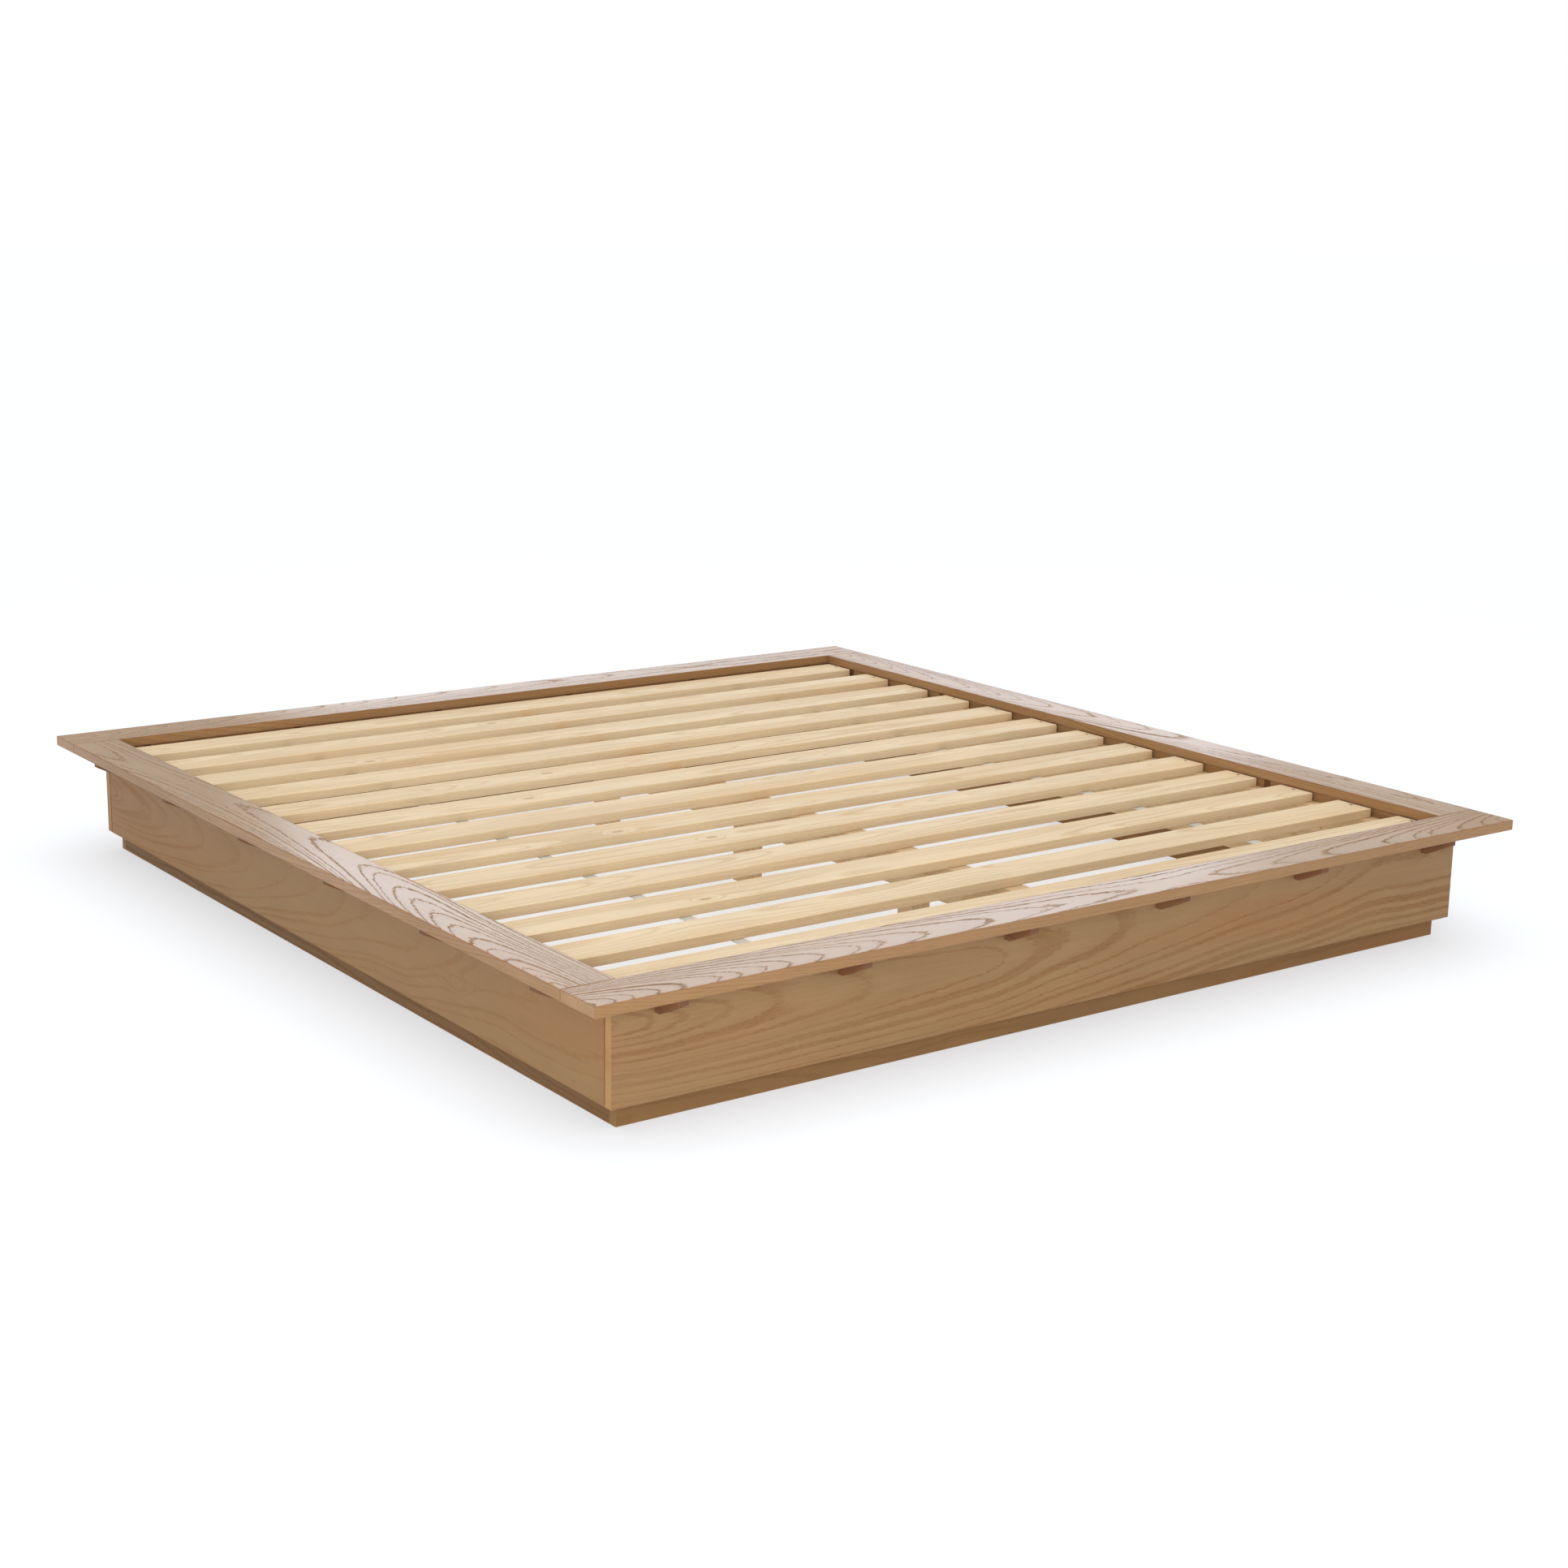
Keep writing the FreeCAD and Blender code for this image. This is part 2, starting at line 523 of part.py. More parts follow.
def levellers():
    """A screw foot under each centre leg: a threaded stud with a hexagon, turning in a nylon pad."""
    pad = solid_of_revolution([
        (0, 0), (PAD_RADIUS - 1, 0), (PAD_RADIUS, 1), (PAD_RADIUS, PAD_RIM), (PAD_TOP_RADIUS, PAD_TOP),
        (PIN_RADIUS + THREAD_PLAY, PAD_TOP), (PIN_RADIUS + THREAD_PLAY, PAD_SOCKET), (0, PAD_SOCKET),
    ])
    shoulder = COLLAR_BOTTOM + 1
    stem = solid_of_revolution([
        (0, PIN_BOTTOM), (PIN_RADIUS, PIN_BOTTOM), (PIN_RADIUS, shoulder), (STUD_RADIUS, shoulder),
        (STUD_RADIUS, STUD_TOP - 1), (STUD_RADIUS - 1, STUD_TOP), (0, STUD_TOP),
    ])
    stud = stem.fuse(hexagon(COLLAR_WIDTH, COLLAR_HEIGHT, COLLAR_BOTTOM)).removeSplitter()
    found = {}
    for number, y in enumerate(LEG_PLACES, 1):
        for name, shape in (("pad", pad), ("stud", stud)):
            copy = shape.copy()
            copy.translate(Vector(0, y, 0))
            found[f"leveller_{name}_{number}"] = copy
    return found


# ---- fastener groups -----------------------------------------------------------------------------------
def fasteners():
    """Groups of loose fasteners, one node for each kind."""
    slat_screw, hanger_screw = wood_screw(*SLAT_SCREW), wood_screw(*HANGER_SCREW)
    groups = {
        "slat_screws": [placed(slat_screw, start, DOWN) for start in slat_screw_starts()],
        "hanger_screws": [placed(hanger_screw, s, d) for s, d in hanger_screw_places()],
        "rail_screws": screws_of("rail", RAIL_SCREW),
        "bracket_screws": screws_of("bracket", BRACKET_SCREW),
        "ledge_screws": screws_of("ledge", LEDGE_SCREW),
        "dowels": [placed(dowel_pin(r, n), s, d) for r, n, s, d in all_dowels()],
    }
    bolt = corner_bolt()
    insert = Part.makeCylinder(INSERT_RADIUS, INSERT_LENGTH)
    insert = insert.cut(rod(BOLT_RADIUS + THREAD_PLAY, INSERT_LENGTH + 2, Vector(0, 0, -1), Z_AXIS))
    groups["corner_bolts"] = [
        mirrored_to(placed(bolt, start, direction), corner)
        for corner in CORNERS for start, direction in corner_bolt_places()
    ]
    groups["corner_inserts"] = [
        mirrored_to(placed(insert, start + direction * CORNER_BLOCK, direction), corner)
        for corner in CORNERS for start, direction in corner_bolt_places()
    ]
    groups["leg_bolts"] = [
        rod(LEG_BOLT_RADIUS, 2 * LEG_BOLT_DEPTH, Vector(0, y, BEAM_UNDER - LEG_BOLT_DEPTH), Z_AXIS)
        for y in LEG_PLACES
    ]
    bore = STUD_RADIUS + THREAD_PLAY
    tnut = solid_of_revolution([
        (bore, -TNUT_FLANGE), (TNUT_FLANGE_RADIUS, -TNUT_FLANGE), (TNUT_FLANGE_RADIUS, 0),
        (TNUT_BARREL_RADIUS, 0), (TNUT_BARREL_RADIUS, TNUT_BARREL), (bore, TNUT_BARREL),
    ])
    groups["leg_tnuts"] = [placed(tnut, Vector(0, y, LEG_BOTTOM), Z_AXIS) for y in LEG_PLACES]
    return {name: Part.makeCompound(solids) for name, solids in groups.items()}


def main():
    os.makedirs("parts", exist_ok=True)
    builders = (
        ledges, panels, plinths, brackets, inner_rails, corner_blocks, slats, webbing,
        beam_hangers, centre_beam, centre_legs, levellers, fasteners,
    )
    for build in builders:
        for name, shape in build().items():
            shape.exportStep(os.path.join("parts", name + ".step"))
            bounds = shape.BoundBox
            print(f"{name:24s} solids {len(shape.Solids):3d}  valid {shape.isValid()}  "
                  f"size {bounds.XLength:7.1f} {bounds.YLength:7.1f} {bounds.ZLength:6.1f}")


main()
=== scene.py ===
"""Looks of the king-size platform bed frame: oak ledge, panels, plinth and brackets over a slatted base."""

import bpy
import math
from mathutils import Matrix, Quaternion, Vector


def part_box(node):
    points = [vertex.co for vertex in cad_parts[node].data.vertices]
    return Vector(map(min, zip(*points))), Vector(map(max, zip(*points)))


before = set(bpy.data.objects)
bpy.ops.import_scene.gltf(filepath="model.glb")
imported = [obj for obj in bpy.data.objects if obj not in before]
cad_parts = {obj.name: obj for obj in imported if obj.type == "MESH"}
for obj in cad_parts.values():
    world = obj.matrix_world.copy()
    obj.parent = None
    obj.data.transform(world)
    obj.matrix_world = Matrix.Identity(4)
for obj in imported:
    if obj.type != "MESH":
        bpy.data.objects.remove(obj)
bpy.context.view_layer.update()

# ---- camera --------------------------------------------------------------------------------------
CAMERA_PLACE = (-3.016, -4.256, 1.476)
CAMERA_AZIMUTH, CAMERA_ELEVATION, CAMERA_ROLL = math.radians(-36.14), math.radians(13.42), math.radians(0.95)
CAMERA_LENS, CAMERA_SENSOR = 58.49, 36.0


def look_back(azimuth, elevation):
    """The direction from the object back to a camera at this angle."""
    flat = math.cos(elevation)
    return Vector((math.sin(azimuth) * flat, -math.cos(azimuth) * flat, math.sin(elevation)))


def make_camera():
    data = bpy.data.cameras.new("camera")
    data.lens, data.sensor_width = CAMERA_LENS, CAMERA_SENSOR
    data.clip_start, data.clip_end = 0.1, 100
    camera = bpy.data.objects.new("camera", data)
    camera.location = CAMERA_PLACE
    camera.rotation_mode = "QUATERNION"
    facing = (-look_back(CAMERA_AZIMUTH, CAMERA_ELEVATION)).to_track_quat("-Z", "Y")
    camera.rotation_quaternion = facing @ Quaternion((0, 0, 1), CAMERA_ROLL)
    bpy.context.scene.collection.objects.link(camera)
    bpy.context.scene.camera = camera


# ---- node helpers --------------------------------------------------------------------------------
class Graph:
    """Short calls for building a node tree. A value is a number, a tuple or another node's socket."""

    def __init__(self, tree):
        self.tree = tree

    def node(self, kind, **settings):
        made = self.tree.nodes.new(kind)
        for name, value in settings.items():
            setattr(made, name, value)
        return made

    def put(self, socket, value):
        if isinstance(value, bpy.types.NodeSocket):
            self.tree.links.new(value, socket)
        elif value is not None:
            socket.default_value = value

    def math(self, operation, *values, clamp=False):
        made = self.node("ShaderNodeMath", operation=operation, use_clamp=clamp)
        for socket, value in zip(made.inputs, values):
            self.put(socket, value)
        return made.outputs[0]

    def vector(self, operation, *values):
        made = self.node("ShaderNodeVectorMath", operation=operation)
        for socket, value in zip(made.inputs, values):
            self.put(socket, value)
        return made.outputs[0]

    def shifted(self, vector, x, y, z):
        return self.vector("ADD", vector, (x, y, z))

    def scaled(self, vector, factor):
        made = self.node("ShaderNodeVectorMath", operation="SCALE")
        self.put(made.inputs[0], vector)
        self.put(made.inputs["Scale"], factor)
        return made.outputs[0]

    def noise(self, vector, stretch, detail=1.0, roughness=0.5):
        """Noise from 0 to 1, with its own frequency per metre along each board direction."""
        made = self.node("ShaderNodeTexNoise")
        self.put(made.inputs["Vector"], self.vector("MULTIPLY", vector, stretch))
        self.put(made.inputs["Scale"], 1.0)
        self.put(made.inputs["Detail"], detail)
        self.put(made.inputs["Roughness"], roughness)
        self.put(made.inputs["Distortion"], 0.0)
        return made.outputs[0]

    def swing(self, noise, reach):
        """Noise centred on zero, reaching about plus or minus reach."""
        centred = self.math("SUBTRACT", noise, 0.5)
        return self.math("MULTIPLY", centred, self.math("MULTIPLY", reach, 2.0))

    def ramp(self, value, start, end, low=0.0, high=1.0):
        """A smooth step: low at start, high at end."""
        made = self.node("ShaderNodeMapRange", interpolation_type="SMOOTHSTEP", clamp=True)
        names = ("Value", "From Min", "From Max", "To Min", "To Max")
        for name, item in zip(names, (value, start, end, low, high)):
            self.put(made.inputs[name], item)
        return made.outputs[0]

    def mix(self, factor, first, second):
        made = self.node("ShaderNodeMix", data_type="RGBA", blend_type="MIX", clamp_factor=True)
        self.put(made.inputs["Factor"], factor)
        colours = [socket for socket in made.inputs if socket.type == "RGBA"]
        self.put(colours[0], first)
        self.put(colours[1], second)
        return [socket for socket in made.outputs if socket.type == "RGBA"][0]


def linear(red, green, blue):
    """A display colour, 0 to 255, as the linear colour that a shader takes."""
    def channel(value):
        value /= 255
        return value / 12.92 if value <= 0.04045 else ((value + 0.055) / 1.055) ** 2.4
    return (channel(red), channel(green), channel(blue), 1.0)


# ---- wood ----------------------------------------------------------------------------------------
SWAY_RATE = 2 * math.pi / 2.4        # radians per metre of the pith's slow swing
KNOT_REACH = (0.030, 0.013)          # metres along and across that a knot turns the grain
ARRIS_SHADE_TONE = linear(128, 88, 64)     # painted shade along an edge, where the eased arris turns from the light
ARRIS_SHADE_BAND = (0.0030, 0.0010)        # metres from an edge where that painted shade starts and is full
WEAR_AND_HIGHLIGHT_BAND = (0.0022, 0.0004)         # and where the paler edge starts and is full: partly wear, partly a painted highlight
SEED_STEP = (3.71, 1.93, 2.37)       # metres that each seed moves the noises
WOOD_RELIEF = 0.0004                 # metres between the pores' floor and the surface

# frequencies per metre along, across and through the board
DRIFT_RATE, DEPTH_DRIFT_RATE = (2.7, 1.5, 1.5), (3.1, 2.0, 2.0)
JAG_RATE, FIBRE_RATE = (42, 190, 190), (5, 260, 260)
PORE_RATE, FLECK_RATE = (95, 1100, 1100), (34, 620, 620)
PATCH_RATE, BLOTCH_RATE = (2.4, 9, 9), (13, 27, 27)
WARMTH_RATE, FADE_RATE = (1.7, 10, 10), (3.0, 14, 14)
GROWTH_RATE = (85, 1, 1)             # per metre out from the pith

WOOD_INPUTS = (
    ("Board", "NodeSocketVector", None),           # metres from the board's centre: along, across, through
    ("Seed", "NodeSocketFloat", 0.0),
    ("Face", "NodeSocketFloat", 1.0),              # 1 on the broad faces, 0 on the edges
    ("End", "NodeSocketFloat", 0.0),               # 1 on the sawn ends
    ("Rim", "NodeSocketFloat", 1.0),               # metres to the nearest edge of the board
    ("Arris Shade", "NodeSocketFloat", 0.0),             # how strongly the painted shade darkens the board along its edges
    ("Pith Depth", "NodeSocketFloat", 0.05),       # metres from the board's middle down to the pith
    ("Pith Side", "NodeSocketFloat", 0.0),         # metres across to the pith
    ("Lean", "NodeSocketFloat", 0.03),             # metres that the pith goes deeper for each metre along
    ("Bow", "NodeSocketFloat", -0.03),             # the same for each metre along, squared
    ("Sway", "NodeSocketFloat", 0.0),              # reach of the pith's slow swing across the board
    ("Sway Peak", "NodeSocketFloat", 0.0),         # where along the board that swing is farthest across
    ("Wander", "NodeSocketFloat", 0.008),          # reach of its small irregular turns
    ("Ring", "NodeSocketFloat", 0.005),            # metres between two rings
    ("Jag", "NodeSocketFloat", 0.0012),            # reach of the ragged edge of their lines
    ("Line Width", "NodeSocketFloat", 0.35),       # share of a ring that its dark line takes
    ("Line Onset", "NodeSocketFloat", 0.04),       # share of a ring in which its dark line sets in
    ("Line Strength", "NodeSocketFloat", 0.8),
    ("Knot Along", "NodeSocketFloat", 0.0),        # metres from the board's centre
    ("Knot Across", "NodeSocketFloat", 0.0),
    ("Knot Size", "NodeSocketFloat", 0.0),         # metres that a knot pushes the rings; dark core if above 0
    ("Pale", "NodeSocketColor", (0.5, 0.4, 0.3, 1)),
    ("Dark", "NodeSocketColor", (0.3, 0.2, 0.1, 1)),
    ("Warm", "NodeSocketColor", (0.4, 0.25, 0.15, 1)),
    ("Edge", "NodeSocketColor", (0.4, 0.25, 0.15, 1)),
    ("Roughness", "NodeSocketFloat", 0.45),
)


def make_wood_group():
    """Ring-porous wood: rings round a pith that lies under the board and wanders along it. So the rings meet
    the face in tall arches with ragged tips, and run in straight close lines towards the board's edges."""
    tree = bpy.data.node_groups.new("ring_porous_wood", "ShaderNodeTree")
    for name, kind, value in WOOD_INPUTS:
        socket = tree.interface.new_socket(name, in_out="INPUT", socket_type=kind)
        if value is not None:
            socket.default_value = value
    kinds = {"Color": "NodeSocketColor", "Roughness": "NodeSocketFloat", "Height": "NodeSocketFloat"}
    for name, kind in kinds.items():
        tree.interface.new_socket(name, in_out="OUTPUT", socket_type=kind)
    g = Graph(tree)
    given = g.node("NodeGroupInput").outputs
    place = given["Board"]
    seeded = g.vector("ADD", place, g.scaled(SEED_STEP, given["Seed"]))
    parts = g.node("ShaderNodeSeparateXYZ")
    g.put(parts.inputs[0], place)
    along, across, through = parts.outputs

    # the pith's distance from each point
    swing = g.math("COSINE", g.math("MULTIPLY", g.math("SUBTRACT", along, given["Sway Peak"]), SWAY_RATE))
    pith_side = g.math("MULTIPLY_ADD", swing, given["Sway"], given["Pith Side"])
    slope = g.math("MULTIPLY_ADD", along, given["Bow"], given["Lean"])
    pith_depth = g.math("MULTIPLY_ADD", along, slope, given["Pith Depth"])
    side_drift = g.swing(g.noise(seeded, DRIFT_RATE), given["Wander"])
    depth_drift = g.swing(g.noise(g.shifted(seeded, 0, 0, 9.1), DEPTH_DRIFT_RATE), given["Wander"])
    sideways = g.math("ADD", g.math("SUBTRACT", across, pith_side), side_drift)
    deep = g.math("ADD", g.math("ADD", through, pith_depth), depth_drift)
    squares = g.math("ADD", g.math("MULTIPLY", sideways, sideways), g.math("MULTIPLY", deep, deep))
    radius = g.math("SQRT", squares)
    steepness = g.math("DIVIDE", g.math("ABSOLUTE", sideways), g.math("ADD", radius, 0.001))

    # a swirl round a small knot
    knot_u = g.math("DIVIDE", g.math("SUBTRACT", along, given["Knot Along"]), KNOT_REACH[0])
    knot_v = g.math("DIVIDE", g.math("SUBTRACT", across, given["Knot Across"]), KNOT_REACH[1])
    knot_far = g.math("ADD", g.math("MULTIPLY", knot_u, knot_u), g.math("MULTIPLY", knot_v, knot_v))
    knot = g.math("EXPONENT", g.math("MULTIPLY", knot_far, -1.0))
    radius = g.math("MULTIPLY_ADD", knot, given["Knot Size"], radius)
    knot_core = g.math("MULTIPLY", g.ramp(knot, 0.72, 0.90), g.ramp(given["Knot Size"], 0.001, 0.012))

    # ragged ring lines, as thick at the arches' tips as on their sides
    jag = g.swing(g.noise(seeded, JAG_RATE, 3.0, 0.65), given["Jag"])
    radius = g.math("ADD", radius, jag)
    year = g.vector("ADD", g.scaled((1.0, 0.0, 0.0), radius), g.scaled((0.0, 5.3, 0.0), given["Seed"]))
    growth = g.noise(year, GROWTH_RATE)
    phase = g.math("ADD", g.math("DIVIDE", radius, given["Ring"]), g.math("MULTIPLY", growth, 2.2))
    ring = g.math("FRACT", phase)
    line_end = g.math("MULTIPLY", given["Line Width"], g.ramp(steepness, 0.0, 0.7, 0.36, 1.0))
    onset = g.ramp(ring, 0.0, given["Line Onset"])
    fading = g.ramp(ring, g.math("MULTIPLY", line_end, 0.45), line_end, 1.0, 0.0)
    band = g.math("MULTIPLY", onset, fading)
    latewood = g.ramp(ring, 0.55, 1.0)

    # pores, fibres and patches
    pores = g.ramp(g.noise(seeded, PORE_RATE), 0.40, 0.62)
    fibre = g.noise(seeded, FIBRE_RATE, 2.0)
    flecks = g.ramp(g.noise(g.shifted(seeded, 4.4, 0, 0), FLECK_RATE), 0.60, 0.72)
    patch = g.noise(seeded, PATCH_RATE, 2.0)
    blotch = g.noise(g.shifted(seeded, 0, 0, 5.7), BLOTCH_RATE, 2.0, 0.6)
    warmth = g.ramp(g.noise(g.shifted(seeded, 0, 6.2, 0), WARMTH_RATE, 2.0), 0.42, 0.72)
    fade = g.ramp(g.noise(g.shifted(seeded, 8.5, 0, 0), FADE_RATE, 2.0), 0.30, 0.62, 0.55, 1.0)

    pore_band = g.math("MULTIPLY", band, g.math("MULTIPLY_ADD", pores, 0.45, 0.55))
    figure = g.math("MULTIPLY", g.math("MULTIPLY", pore_band, fade), given["Line Strength"])
    figure = g.math("MULTIPLY", figure, g.math("MULTIPLY_ADD", given["Face"], 0.45, 0.55))
    figure = g.math("MULTIPLY", figure, g.math("MULTIPLY_ADD", given["End"], -0.60, 1.0))
    lesser = g.math("MULTIPLY", latewood, g.math("MULTIPLY", given["Line Strength"], 0.16))
    speckle = g.math("MULTIPLY", flecks, g.math("MULTIPLY", given["Line Strength"], 0.22))

    ground = g.mix(g.math("SUBTRACT", 1.0, given["Face"]), given["Pale"], given["Edge"])
    ground = g.mix(g.math("MULTIPLY", warmth, 0.55), ground, given["Warm"])
    ground = g.mix(g.math("ADD", lesser, speckle, clamp=True), ground, given["Dark"])
    ground = g.mix(g.math("MAXIMUM", figure, g.math("MULTIPLY", knot_core, 0.8)), ground, given["Dark"])
    # painted shade: a darker band along the board's edges, standing in for the eased arris turning from the
    # light
    arris_shade = g.math("MULTIPLY", g.ramp(given["Rim"], *ARRIS_SHADE_BAND), g.ramp(patch, 0.30, 0.65, 0.4, 1.0))
    arris_shade = g.math("MULTIPLY", arris_shade, given["Arris Shade"])
    ground = g.mix(arris_shade, ground, ARRIS_SHADE_TONE)
    shade = g.math("ADD", g.math("ADD", g.swing(fibre, 0.10), g.swing(patch, 0.09)), g.swing(blotch, 0.06))
    # a paler rim along the edges: partly wear, partly a painted highlight where the eased edge catches the
    # light
    wear_and_highlight = g.math("MULTIPLY", g.ramp(given["Rim"], *WEAR_AND_HIGHLIGHT_BAND), g.ramp(patch, 0.35, 0.75, 0.03, 0.16))
    shade = g.math("ADD", g.math("ADD", shade, wear_and_highlight), 1.0)
    colour = g.scaled(ground, shade)

    rough = g.math("ADD", given["Roughness"], g.math("MULTIPLY", g.math("ADD", figure, arris_shade), 0.60))
    rough = g.math("ADD", rough, g.swing(patch, 0.05), clamp=True)
    height = g.math("SUBTRACT", g.math("MULTIPLY", fibre, 0.25), g.math("MULTIPLY", pore_band, 0.8))
    out = g.node("NodeGroupOutput").inputs
    for name, value in (("Color", colour), ("Roughness", rough), ("Height", height)):
        g.put(out[name], value)
    return tree


AXES = {"X": 0, "Y": 1, "Z": 2}


def board_space(g, low, high, order):
    """Metres from the board's centre in the order along, across, through; then the masks of the broad faces
    and of the ends, and the distance to the nearest edge."""
    found = g.node("ShaderNodeTexCoord")
    centre, half = (low + high) / 2, (high - low) / 2
    local = g.vector("SUBTRACT", found.outputs["Object"], tuple(centre))
    split = g.node("ShaderNodeSeparateXYZ")
    g.put(split.inputs[0], local)
    joined = g.node("ShaderNodeCombineXYZ")
    for socket, letter in zip(joined.inputs, order):
        g.put(socket, split.outputs[AXES[letter]])
    facing = g.node("ShaderNodeSeparateXYZ")
    g.put(facing.inputs[0], found.outputs["Normal"])
    face = g.ramp(g.math("ABSOLUTE", facing.outputs[AXES[order[2]]]), 0.6, 0.8)
    end = g.ramp(g.math("ABSOLUTE", facing.outputs[AXES[order[0]]]), 0.6, 0.8)
    to_x, to_y, to_z = (
        g.math("SUBTRACT", half[k], g.math("ABSOLUTE", split.outputs[k])) for k in range(3)
    )
    nearer, farther = g.math("MINIMUM", to_x, to_y), g.math("MAXIMUM", to_x, to_y)
    rim = g.math("MAXIMUM", nearer, g.math("MINIMUM", farther, to_z))
    return joined.outputs[0], face, end, rim


def new_material(name):
    material = bpy.data.materials.new(name)
    material.use_nodes = True
    tree = material.node_tree
    tree.nodes.clear()
    g = Graph(tree)
    shader = g.node("ShaderNodeBsdfPrincipled")
    g.put(g.node("ShaderNodeOutputMaterial").inputs["Surface"], shader.outputs[0])
    return material, g, shader


def wood_material(name, box, order, seed, look, figure):
    """Wood for one board. look holds the group's own inputs by name, and the finish of the surface."""
    material, g, shader = new_material(name)
    board, face, end, rim = board_space(g, *box, order)
    wood = g.node("ShaderNodeGroup")
    wood.node_tree = WOOD
    for socket, value in (("Board", board), ("Seed", seed), ("Face", face), ("End", end), ("Rim", rim)):
        g.put(wood.inputs[socket], value)
    for socket, value in (look["wood"] | figure).items():
        g.put(wood.inputs[socket], value)
    bump = g.node("ShaderNodeBump")
    g.put(bump.inputs["Height"], wood.outputs["Height"])
    bump.inputs["Strength"].default_value = look["bump"]
    bump.inputs["Distance"].default_value = WOOD_RELIEF
    g.put(shader.inputs["Base Color"], wood.outputs["Color"])
    g.put(shader.inputs["Roughness"], wood.outputs["Roughness"])
    g.put(shader.inputs["Normal"], bump.outputs[0])
    shader.inputs["Specular IOR Level"].default_value = look["specular"]
    return material


LEDGE_LOOK = {
    "specular": 0.36, "bump": 0.35,
    "wood": {
        "Pith Depth": 0.085, "Wander": 0.006, "Ring": 0.0056, "Jag": 0.0016, "Line Width": 0.42,
        "Line Strength": 0.85, "Roughness": 0.28, "Arris Shade": 0.42,
        "Pale": linear(173, 143, 109), "Dark": linear(125, 88, 56), "Warm": linear(173, 135, 97),
        "Edge": linear(158, 119, 76),
    },
}
PANEL_LOOK = {
    "specular": 0.30, "bump": 0.25,
    "wood": {
        "Pith Depth": 0.060, "Pith Side": 0.100, "Wander": 0.014, "Ring": 0.0128, "Jag": 0.0026,
        "Line Width": 0.60, "Line Onset": 0.16, "Line Strength": 0.54, "Roughness": 0.50, "Arris Shade": 0.30,
        "Pale": linear(155, 121, 80), "Dark": linear(122, 77, 41), "Warm": linear(160, 112, 67),
        "Edge": linear(162, 124, 80),
    },
}
# the plinth's wood, made darker than the panels' as painted shade for its place set back under the panels
SHADED_PLINTH_LOOK = {
    "specular": 0.25, "bump": 0.25,
    "wood": {
        "Pith Depth": 0.060, "Pith Side": 0.030, "Wander": 0.010, "Ring": 0.0080, "Jag": 0.0012,
        "Line Width": 0.6, "Line Strength": 0.30, "Roughness": 0.52,
        "Pale": linear(136, 100, 59), "Dark": linear(100, 70, 39), "Warm": linear(140, 94, 49),
        "Edge": linear(136, 100, 59),
    },
}
# the brackets' wood, made darker than the panels' as painted shade for their place under the ledge
SHADED_BRACKET_LOOK = {
    "specular": 0.3, "bump": 0.3,
    "wood": {
        "Pith Depth": 0.050, "Wander": 0.003, "Ring": 0.0045, "Jag": 0.0008, "Line Width": 0.5,
        "Line Strength": 0.45, "Roughness": 0.50,
        "Pale": linear(134, 95, 64), "Dark": linear(88, 58, 38), "Warm": linear(128, 84, 56),
        "Edge": linear(106, 66, 39),
    },
}
SLAT_LOOK = {
    "specular": 0.35, "bump": 0.35,
    "wood": {
        "Pith Depth": 0.055, "Wander": 0.010, "Ring": 0.0062, "Jag": 0.0005, "Line Width": 0.85,
        "Line Strength": 0.38, "Roughness": 0.62,
        "Pale": linear(226, 204, 168), "Dark": linear(188, 148, 102), "Warm": linear(222, 190, 146),
        "Edge": linear(222, 198, 160),
    },
}
RAIL_LOOK = {
    "specular": 0.35, "bump": 0.35,
    "wood": {
        "Pith Depth": 0.080, "Wander": 0.012, "Ring": 0.0058, "Jag": 0.0005, "Line Width": 0.85,
        "Line Strength": 0.36, "Roughness": 0.64,
        "Pale": linear(214, 188, 148), "Dark": linear(172, 132, 88), "Warm": linear(208, 172, 126),
        "Edge": linear(210, 182, 142),
    },
}

